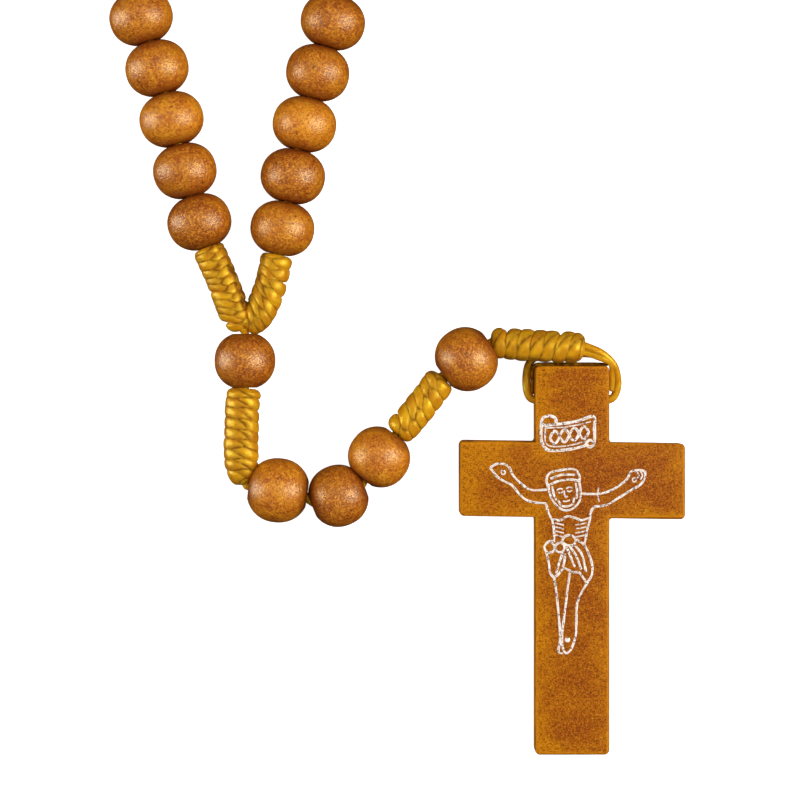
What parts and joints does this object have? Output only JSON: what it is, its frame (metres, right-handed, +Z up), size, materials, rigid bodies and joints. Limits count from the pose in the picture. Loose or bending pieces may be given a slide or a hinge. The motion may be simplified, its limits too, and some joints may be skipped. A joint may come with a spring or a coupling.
{
  "type": "rosary",
  "caption": "Prayer rosary of turned, varnished wooden beads on a golden satin cord with wound knots, laid flat in a teardrop, with a flat wooden cross on a cord ring.",
  "frame": {"origin": "on the table under the middle of the whole rosary's outline, as it lies flat", "axes": "+Z up off the table, +Y along the loop's line of symmetry from the centre bead to the top of the loop, +X to the side that the pendant and cross lie on"},
  "size_m": [0.1196, 0.252, 0.0081],
  "materials": {
    "bead_wood": "satin varnish over fine-grained wood, stained orange-brown",
    "cross_wood": "satin varnish over mottled ochre stain, lighter along the edges, with a thin silvery outline print on its face",
    "satin_cord": "smooth golden satin rat-tail cord"
  },
  "bodies": {
    "loop_front": {"junction_cord": "satin_cord"},
    "loop_lower": {"loop_cord_lower_left": "satin_cord", "loop_cord_lower_right": "satin_cord"},
    "loop_upper": {"loop_cord_upper_left": "satin_cord", "loop_cord_upper_right": "satin_cord"},
    "loop_top": {"loop_cord_top": "satin_cord"},
    "upper_knot": {"upper_knot": "satin_cord"},
    "bead_cord_1": {"bead_cord_1": "satin_cord"},
    "bead_cord_2": {"bead_cord_2": "satin_cord"},
    "bead_cord_3": {"bead_cord_3": "satin_cord"},
    "middle_knot": {"middle_knot": "satin_cord"},
    "bead_cord_4": {"bead_cord_4": "satin_cord"},
    "cross_knot": {"cross_knot": "satin_cord"},
    "cross_ring": {"cross_ring": "satin_cord"},
    "cross": {"cross": "cross_wood"},
    "centre_bead": {"centre_bead": "bead_wood"},
    "decade_1_bead_01": {"decade_1_bead_01": "bead_wood"},
    "decade_1_bead_02": {"decade_1_bead_02": "bead_wood"},
    "decade_1_bead_03": {"decade_1_bead_03": "bead_wood"},
    "decade_1_bead_04": {"decade_1_bead_04": "bead_wood"},
    "decade_1_bead_05": {"decade_1_bead_05": "bead_wood"},
    "decade_1_bead_06": {"decade_1_bead_06": "bead_wood"},
    "decade_1_bead_07": {"decade_1_bead_07": "bead_wood"},
    "decade_1_bead_08": {"decade_1_bead_08": "bead_wood"},
    "decade_1_bead_09": {"decade_1_bead_09": "bead_wood"},
    "decade_1_bead_10": {"decade_1_bead_10": "bead_wood"},
    "decade_2_beads_01_02": {"decade_2_beads_01_02": "bead_wood"},
    "decade_2_beads_03_04": {"decade_2_beads_03_04": "bead_wood"},
    "decade_2_beads_05_06": {"decade_2_beads_05_06": "bead_wood"},
    "decade_2_beads_07_08": {"decade_2_beads_07_08": "bead_wood"},
    "decade_2_beads_09_10": {"decade_2_beads_09_10": "bead_wood"},
    "decade_3_beads_01_02": {"decade_3_beads_01_02": "bead_wood"},
    "decade_3_beads_03_04": {"decade_3_beads_03_04": "bead_wood"},
    "decade_3_beads_05_06": {"decade_3_beads_05_06": "bead_wood"},
    "decade_3_beads_07_08": {"decade_3_beads_07_08": "bead_wood"},
    "decade_3_beads_09_10": {"decade_3_beads_09_10": "bead_wood"},
    "decade_4_beads_01_02": {"decade_4_beads_01_02": "bead_wood"},
    "decade_4_beads_03_04": {"decade_4_beads_03_04": "bead_wood"},
    "decade_4_beads_05_06": {"decade_4_beads_05_06": "bead_wood"},
    "decade_4_beads_07_08": {"decade_4_beads_07_08": "bead_wood"},
    "decade_4_beads_09_10": {"decade_4_beads_09_10": "bead_wood"},
    "decade_5_bead_01": {"decade_5_bead_01": "bead_wood"},
    "decade_5_bead_02": {"decade_5_bead_02": "bead_wood"},
    "decade_5_bead_03": {"decade_5_bead_03": "bead_wood"},
    "decade_5_bead_04": {"decade_5_bead_04": "bead_wood"},
    "decade_5_bead_05": {"decade_5_bead_05": "bead_wood"},
    "decade_5_bead_06": {"decade_5_bead_06": "bead_wood"},
    "decade_5_bead_07": {"decade_5_bead_07": "bead_wood"},
    "decade_5_bead_08": {"decade_5_bead_08": "bead_wood"},
    "decade_5_bead_09": {"decade_5_bead_09": "bead_wood"},
    "decade_5_bead_10": {"decade_5_bead_10": "bead_wood"},
    "our_father_bead_1": {"our_father_bead_1": "bead_wood"},
    "our_father_bead_2": {"our_father_bead_2": "bead_wood"},
    "our_father_bead_3": {"our_father_bead_3": "bead_wood"},
    "our_father_bead_4": {"our_father_bead_4": "bead_wood"},
    "our_father_bead_5": {"our_father_bead_5": "bead_wood"},
    "pendant_bead_1": {"pendant_bead_1": "bead_wood"},
    "pendant_bead_2": {"pendant_bead_2": "bead_wood"},
    "pendant_bead_3": {"pendant_bead_3": "bead_wood"}
  },
  "joints": [
    {"name": "upper_knot_bend", "type": "hinge", "parent": "loop_front", "child": "upper_knot", "pos_m": [0.00075, -0.08085, 0.00405], "axis": [0, 0, -1], "range_deg": [-30, 30]},
    {"name": "pendant_bend_1", "type": "hinge", "parent": "upper_knot", "child": "bead_cord_1", "pos_m": [0.0011, -0.0927, 0.00405], "axis": [-0.1392, -0.9903, 0], "range_deg": [0, 30]},
    {"name": "pendant_bend_2", "type": "hinge", "parent": "bead_cord_1", "child": "bead_cord_2", "pos_m": [0.0089, -0.0945, 0.00405], "axis": [0, 0, 1], "range_deg": [-28, 12]},
    {"name": "pendant_bend_3", "type": "hinge", "parent": "bead_cord_2", "child": "bead_cord_3", "pos_m": [0.0156, -0.09225, 0.00405], "axis": [0.6018, -0.7986, 0], "range_deg": [0, 25]},
    {"name": "middle_knot_bend", "type": "hinge", "parent": "bead_cord_3", "child": "middle_knot", "pos_m": [0.01985, -0.08615, 0.00405], "axis": [0, 0, -1], "range_deg": [-28, 28]},
    {"name": "our_father_bend", "type": "hinge", "parent": "middle_knot", "child": "bead_cord_4", "pos_m": [0.0253, -0.07915, 0.00405], "axis": [0.682, -0.7314, 0], "range_deg": [0, 30]},
    {"name": "cross_knot_bend", "type": "hinge", "parent": "bead_cord_4", "child": "cross_knot", "pos_m": [0.03175, -0.07475, 0.00405], "axis": [0, 0, 1], "range_deg": [-12, 40]},
    {"name": "ring_bend", "type": "hinge", "parent": "cross_knot", "child": "cross_ring", "pos_m": [0.0435, -0.0755, 0.00405], "axis": [0, 0, 1], "range_deg": [-3, 40]},
    {"name": "cross_swing", "type": "hinge", "parent": "cross_ring", "child": "cross", "pos_m": [0.0417, -0.082, 0.0024], "axis": [-1, 0, 0], "range_deg": [0, 85]},
    {"name": "loop_fold_1", "type": "hinge", "parent": "loop_front", "child": "loop_lower", "pos_m": [-0.00018, -0.03091, 0.00405], "axis": [0.9998, -0.0208, 0], "range_deg": [0, 35]},
    {"name": "loop_fold_2", "type": "hinge", "parent": "loop_lower", "child": "loop_upper", "pos_m": [-0.00007, 0.02722, 0.00405], "axis": [1, -0.0033, 0], "range_deg": [0, 35]},
    {"name": "loop_fold_3", "type": "hinge", "parent": "loop_upper", "child": "loop_top", "pos_m": [0.00002, 0.07849, 0.00405], "axis": [1, -0.0028, 0], "range_deg": [0, 35]},
    {"name": "spin_centre_bead", "type": "hinge", "parent": "loop_front", "child": "centre_bead", "pos_m": [0.00081, -0.0771, 0.00405], "axis": [0, -1, 0], "continuous": true},
    {"name": "spin_decade_1_bead_01", "type": "hinge", "parent": "loop_front", "child": "decade_1_bead_01", "pos_m": [0.00551, -0.06055, 0.00405], "axis": [0.1944, 0.9809, 0], "continuous": true},
    {"name": "spin_decade_1_bead_02", "type": "hinge", "parent": "loop_front", "child": "decade_1_bead_02", "pos_m": [0.00681, -0.05403, 0.00405], "axis": [0.1991, 0.98, 0], "continuous": true},
    {"name": "spin_decade_1_bead_03", "type": "hinge", "parent": "loop_front", "child": "decade_1_bead_03", "pos_m": [0.00825, -0.04753, 0.00405], "axis": [0.2325, 0.9726, 0], "continuous": true},
    {"name": "spin_decade_1_bead_04", "type": "hinge", "parent": "loop_front", "child": "decade_1_bead_04", "pos_m": [0.00991, -0.0411, 0.00405], "axis": [0.2673, 0.9636, 0], "continuous": true},
    {"name": "spin_decade_1_bead_05", "type": "hinge", "parent": "loop_front", "child": "decade_1_bead_05", "pos_m": [0.01182, -0.03473, 0.00405], "axis": [0.3058, 0.9521, 0], "continuous": true},
    {"name": "spin_decade_1_bead_06", "type": "hinge", "parent": "loop_lower", "child": "decade_1_bead_06", "pos_m": [0.01419, -0.02766, 0.00405], "axis": [0.3304, 0.9438, 0], "continuous": true},
    {"name": "spin_decade_1_bead_07", "type": "hinge", "parent": "loop_lower", "child": "decade_1_bead_07", "pos_m": [0.01648, -0.02142, 0.00405], "axis": [0.3583, 0.9336, 0], "continuous": true},
    {"name": "spin_decade_1_bead_08", "type": "hinge", "parent": "loop_lower", "child": "decade_1_bead_08", "pos_m": [0.01899, -0.01527, 0.00405], "axis": [0.3976, 0.9175, 0], "continuous": true},
    {"name": "spin_decade_1_bead_09", "type": "hinge", "parent": "loop_lower", "child": "decade_1_bead_09", "pos_m": [0.02178, -0.00924, 0.00405], "axis": [0.4429, 0.8966, 0], "continuous": true},
    {"name": "spin_decade_1_bead_10", "type": "hinge", "parent": "loop_lower", "child": "decade_1_bead_10", "pos_m": [0.02482, -0.00332, 0.00405], "axis": [0.4709, 0.8822, 0], "continuous": true},
    {"name": "spin_decade_2_beads_01_02", "type": "hinge", "parent": "loop_upper", "child": "decade_2_beads_01_02", "pos_m": [0.04515, 0.03339, 0.00405], "axis": [0.4448, 0.8956, 0], "continuous": true},
    {"name": "spin_decade_2_beads_03_04", "type": "hinge", "parent": "loop_upper", "child": "decade_2_beads_03_04", "pos_m": [0.0506, 0.0455, 0.00405], "axis": [0.3754, 0.9269, 0], "continuous": true},
    {"name": "spin_decade_2_beads_05_06", "type": "hinge", "parent": "loop_upper", "child": "decade_2_beads_05_06", "pos_m": [0.05442, 0.05817, 0.00405], "axis": [0.2002, 0.9798, 0], "continuous": true},
    {"name": "spin_decade_2_beads_07_08", "type": "hinge", "parent": "loop_upper", "child": "decade_2_beads_07_08", "pos_m": [0.05579, 0.07131, 0.00405], "axis": [0.0059, 1, 0], "continuous": true},
    {"name": "spin_decade_2_beads_09_10", "type": "hinge", "parent": "loop_top", "child": "decade_2_beads_09_10", "pos_m": [0.05388, 0.08511, 0.00405], "axis": [-0.2764, 0.9611, 0], "continuous": true},
    {"name": "spin_decade_3_beads_01_02", "type": "hinge", "parent": "loop_top", "child": "decade_3_beads_01_02", "pos_m": [0.02582, 0.11707, 0.00405], "axis": [-0.9157, 0.4018, 0], "continuous": true},
    {"name": "spin_decade_3_beads_03_04", "type": "hinge", "parent": "loop_top", "child": "decade_3_beads_03_04", "pos_m": [0.01318, 0.12071, 0.00405], "axis": [-0.9894, 0.1453, 0], "continuous": true},
    {"name": "spin_decade_3_beads_05_06", "type": "hinge", "parent": "loop_top", "child": "decade_3_beads_05_06", "pos_m": [0, 0.12167, 0.00405], "axis": [-1, 0, 0], "continuous": true},
    {"name": "spin_decade_3_beads_07_08", "type": "hinge", "parent": "loop_top", "child": "decade_3_beads_07_08", "pos_m": [-0.01318, 0.12071, 0.00405], "axis": [0.9894, 0.1453, 0], "continuous": true},
    {"name": "spin_decade_3_beads_09_10", "type": "hinge", "parent": "loop_top", "child": "decade_3_beads_09_10", "pos_m": [-0.02582, 0.11707, 0.00405], "axis": [0.9157, 0.4018, 0], "continuous": true},
    {"name": "spin_decade_4_beads_01_02", "type": "hinge", "parent": "loop_upper", "child": "decade_4_beads_01_02", "pos_m": [-0.04529, 0.03367, 0.00405], "axis": [-0.4439, 0.8961, 0], "continuous": true},
    {"name": "spin_decade_4_beads_03_04", "type": "hinge", "parent": "loop_upper", "child": "decade_4_beads_03_04", "pos_m": [-0.05071, 0.0458, 0.00405], "axis": [-0.3722, 0.9282, 0], "continuous": true},
    {"name": "spin_decade_4_beads_05_06", "type": "hinge", "parent": "loop_upper", "child": "decade_4_beads_05_06", "pos_m": [-0.05449, 0.05847, 0.00405], "axis": [-0.196, 0.9806, 0], "continuous": true},
    {"name": "spin_decade_4_beads_07_08", "type": "hinge", "parent": "loop_upper", "child": "decade_4_beads_07_08", "pos_m": [-0.05579, 0.07162, 0.00405], "axis": [0.0004, 1, 0], "continuous": true},
    {"name": "spin_decade_4_beads_09_10", "type": "hinge", "parent": "loop_top", "child": "decade_4_beads_09_10", "pos_m": [-0.0538, 0.08541, 0.00405], "axis": [0.2819, 0.9594, 0], "continuous": true},
    {"name": "spin_decade_5_bead_01", "type": "hinge", "parent": "loop_front", "child": "decade_5_bead_01", "pos_m": [-0.00487, -0.05974, 0.00405], "axis": [-0.3173, 0.9483, 0], "continuous": true},
    {"name": "spin_decade_5_bead_02", "type": "hinge", "parent": "loop_front", "child": "decade_5_bead_02", "pos_m": [-0.00671, -0.05336, 0.00405], "axis": [-0.2358, 0.9718, 0], "continuous": true},
    {"name": "spin_decade_5_bead_03", "type": "hinge", "parent": "loop_front", "child": "decade_5_bead_03", "pos_m": [-0.00836, -0.04692, 0.00405], "axis": [-0.2608, 0.9654, 0], "continuous": true},
    {"name": "spin_decade_5_bead_04", "type": "hinge", "parent": "loop_front", "child": "decade_5_bead_04", "pos_m": [-0.01017, -0.04052, 0.00405], "axis": [-0.2851, 0.9585, 0], "continuous": true},
    {"name": "spin_decade_5_bead_05", "type": "hinge", "parent": "loop_front", "child": "decade_5_bead_05", "pos_m": [-0.01215, -0.03417, 0.00405], "axis": [-0.3108, 0.9505, 0], "continuous": true},
    {"name": "spin_decade_5_bead_06", "type": "hinge", "parent": "loop_lower", "child": "decade_5_bead_06", "pos_m": [-0.01452, -0.02711, 0.00405], "axis": [-0.3239, 0.9461, 0], "continuous": true},
    {"name": "spin_decade_5_bead_07", "type": "hinge", "parent": "loop_lower", "child": "decade_5_bead_07", "pos_m": [-0.01676, -0.02085, 0.00405], "axis": [-0.3517, 0.9361, 0], "continuous": true},
    {"name": "spin_decade_5_bead_08", "type": "hinge", "parent": "loop_lower", "child": "decade_5_bead_08", "pos_m": [-0.01925, -0.01469, 0.00405], "axis": [-0.3979, 0.9174, 0], "continuous": true},
    {"name": "spin_decade_5_bead_09", "type": "hinge", "parent": "loop_lower", "child": "decade_5_bead_09", "pos_m": [-0.02206, -0.00866, 0.00405], "axis": [-0.4458, 0.8952, 0], "continuous": true},
    {"name": "spin_decade_5_bead_10", "type": "hinge", "parent": "loop_lower", "child": "decade_5_bead_10", "pos_m": [-0.02511, -0.00276, 0.00405], "axis": [-0.4734, 0.8809, 0], "continuous": true},
    {"name": "spin_our_father_bead_1", "type": "hinge", "parent": "bead_cord_4", "child": "our_father_bead_1", "pos_m": [0.0285, -0.0769, 0.00405], "axis": [0.8192, 0.5736, 0], "continuous": true},
    {"name": "spin_our_father_bead_2", "type": "hinge", "parent": "loop_lower", "child": "our_father_bead_2", "pos_m": [0.034, 0.01323, 0.00405], "axis": [0.5054, 0.8629, 0], "continuous": true},
    {"name": "spin_our_father_bead_3", "type": "hinge", "parent": "loop_top", "child": "our_father_bead_3", "pos_m": [0.04398, 0.10472, 0.00405], "axis": [-0.6552, 0.7554, 0], "continuous": true},
    {"name": "spin_our_father_bead_4", "type": "hinge", "parent": "loop_top", "child": "our_father_bead_4", "pos_m": [-0.04388, 0.10484, 0.00405], "axis": [0.6587, 0.7524, 0], "continuous": true},
    {"name": "spin_our_father_bead_5", "type": "hinge", "parent": "loop_lower", "child": "our_father_bead_5", "pos_m": [-0.03424, 0.01364, 0.00405], "axis": [-0.5066, 0.8622, 0], "continuous": true},
    {"name": "spin_pendant_bead_1", "type": "hinge", "parent": "bead_cord_1", "child": "pendant_bead_1", "pos_m": [0.00496, -0.0933, 0.00405], "axis": [0.9903, -0.1392, 0], "continuous": true},
    {"name": "spin_pendant_bead_2", "type": "hinge", "parent": "bead_cord_2", "child": "pendant_bead_2", "pos_m": [0.0125, -0.09398, 0.00405], "axis": [0.9336, 0.3584, 0], "continuous": true},
    {"name": "spin_pendant_bead_3", "type": "hinge", "parent": "bead_cord_3", "child": "pendant_bead_3", "pos_m": [0.01758, -0.08912, 0.00405], "axis": [0.6018, 0.7986, 0], "continuous": true}
  ]
}
